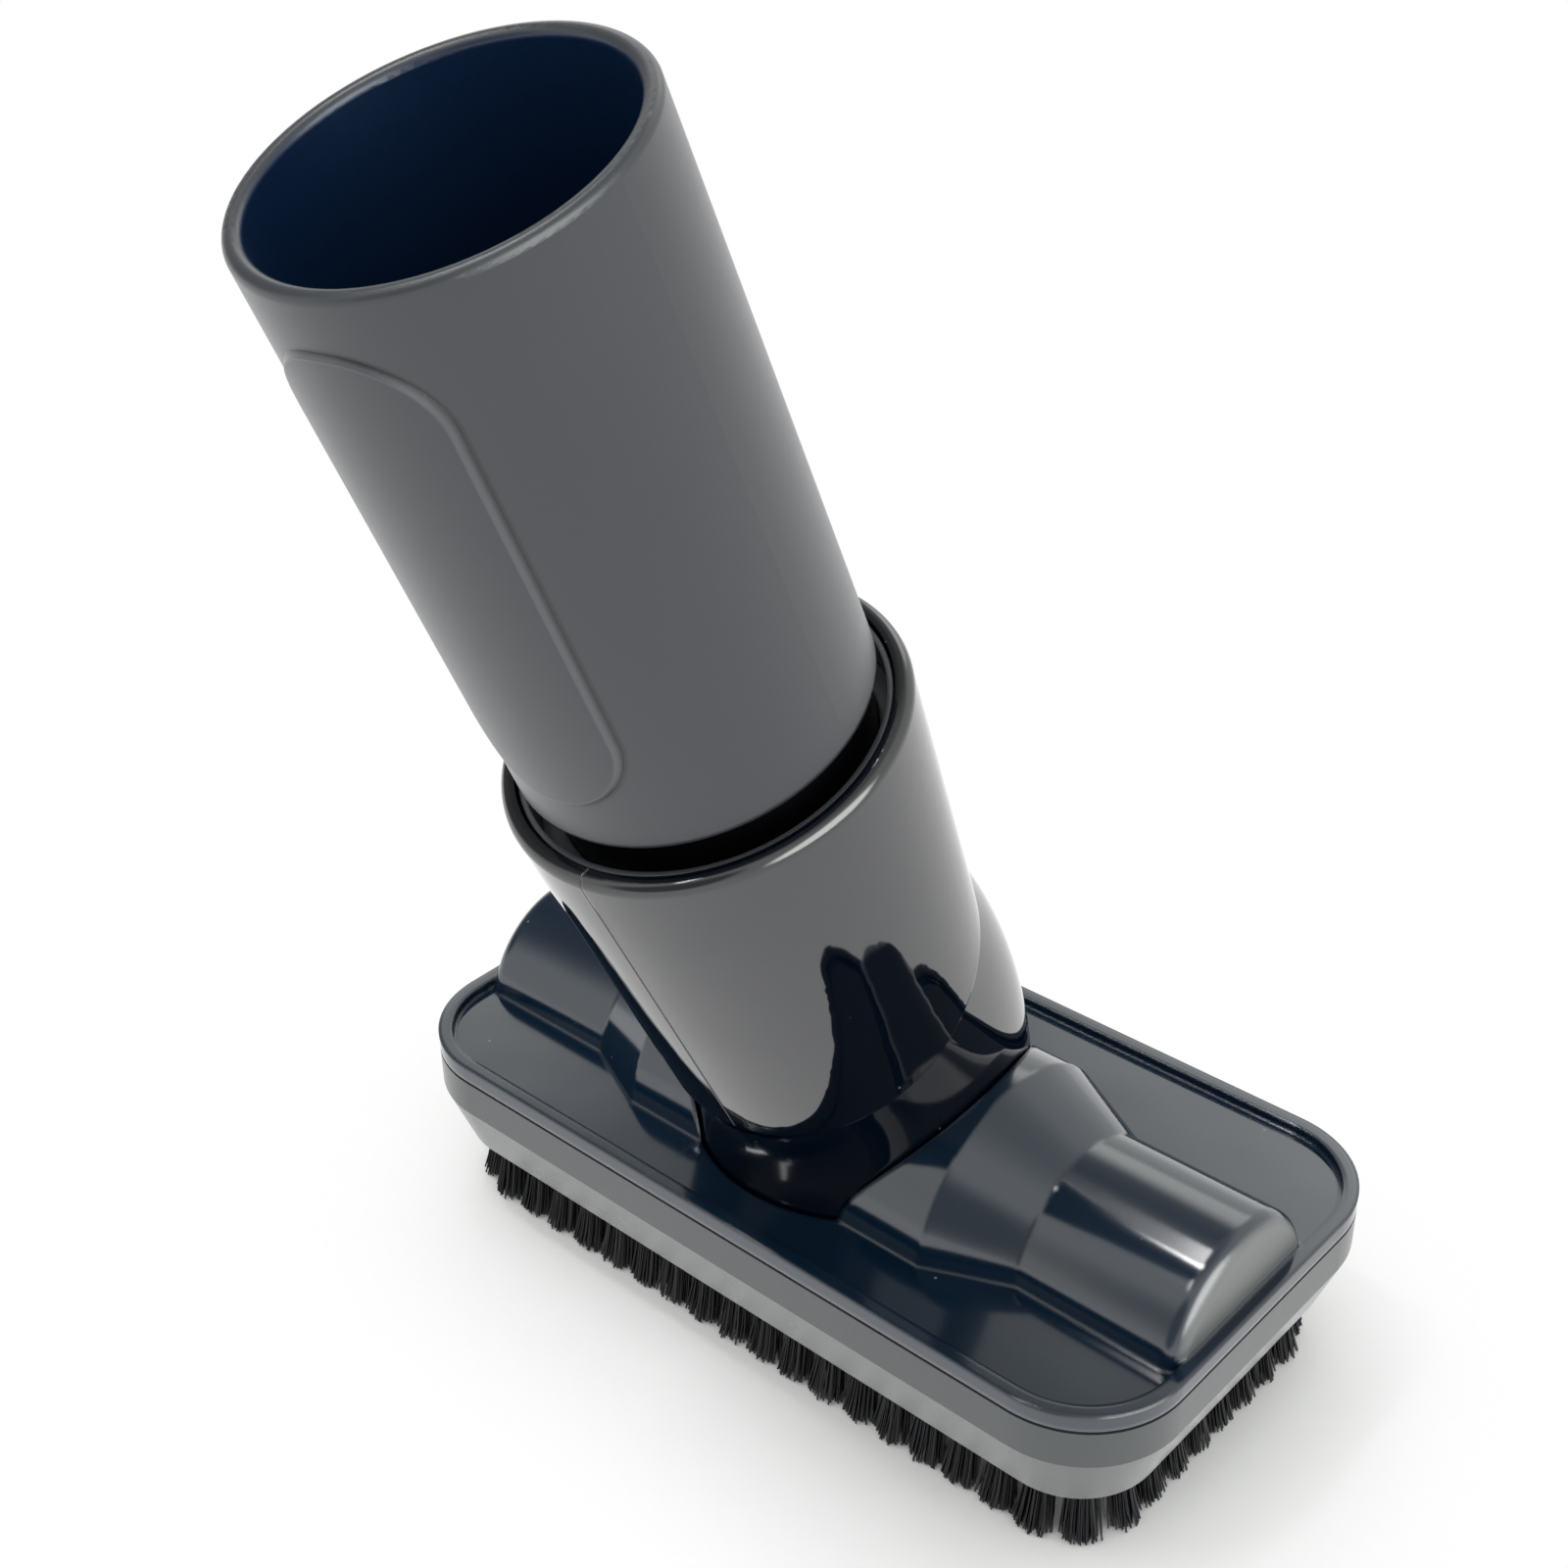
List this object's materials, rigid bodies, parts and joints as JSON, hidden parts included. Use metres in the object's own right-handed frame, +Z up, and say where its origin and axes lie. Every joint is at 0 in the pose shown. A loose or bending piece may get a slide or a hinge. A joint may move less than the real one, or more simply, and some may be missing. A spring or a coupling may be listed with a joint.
{
  "type": "vacuum dusting brush",
  "caption": "Rectangular dusting brush head with a swivelling oblique neck and a slip-on tube for a vacuum hose end.",
  "frame": {"origin": "centre of the bristle face, at the bristle tips", "axes": "+Z up from the swept surface, X along the head, the tube leans towards -Y"},
  "size_m": [0.1108, 0.0988, 0.1578],
  "materials": {
    "tube_plastic": "satin moulded",
    "low_friction_plastic": "smooth",
    "collar_plastic": "polished",
    "retainer_plastic": "polished",
    "elbow_plastic": "polished",
    "ring_steel": "bright",
    "seal_rubber": "matte",
    "cover_plastic": "smoke tinted, polished",
    "keeper_plastic": "moulded",
    "screw_steel": "zinc plated",
    "skirt_plastic": "satin moulded",
    "carrier_plastic": "moulded",
    "bristle": "stiff filament"
  },
  "bodies": {
    "head": {"top_cover": "cover_plastic", "skirt_frame": "skirt_plastic", "tuft_carrier": "carrier_plastic", "carrier_screws": "screw_steel", "elbow_keeper": "keeper_plastic", "keeper_screws": "screw_steel", "lower_elbow": "elbow_plastic", "oblique_snap_ring": "ring_steel", "oblique_seal_ring": "seal_rubber", "tufts_near": "bristle", "tufts_far": "bristle", "tufts_left": "bristle", "tufts_right": "bristle"},
    "collar": {"collar_left_half": "collar_plastic", "collar_right_half": "collar_plastic", "collar_retainer": "retainer_plastic", "tube_seal_ring": "low_friction_plastic"},
    "tube": {"neck_tube": "tube_plastic"}
  },
  "joints": [
    {"name": "collar_turn", "type": "hinge", "parent": "head", "child": "collar", "pos_m": [0, -0.01136, 0.05031], "axis": [0, -0.6428, 0.766], "continuous": true},
    {"name": "tube_swivel", "type": "hinge", "parent": "collar", "child": "tube", "pos_m": [-0.00144, -0.02621, 0.08742], "axis": [-0.0361, -0.3713, 0.9278], "continuous": true}
  ]
}
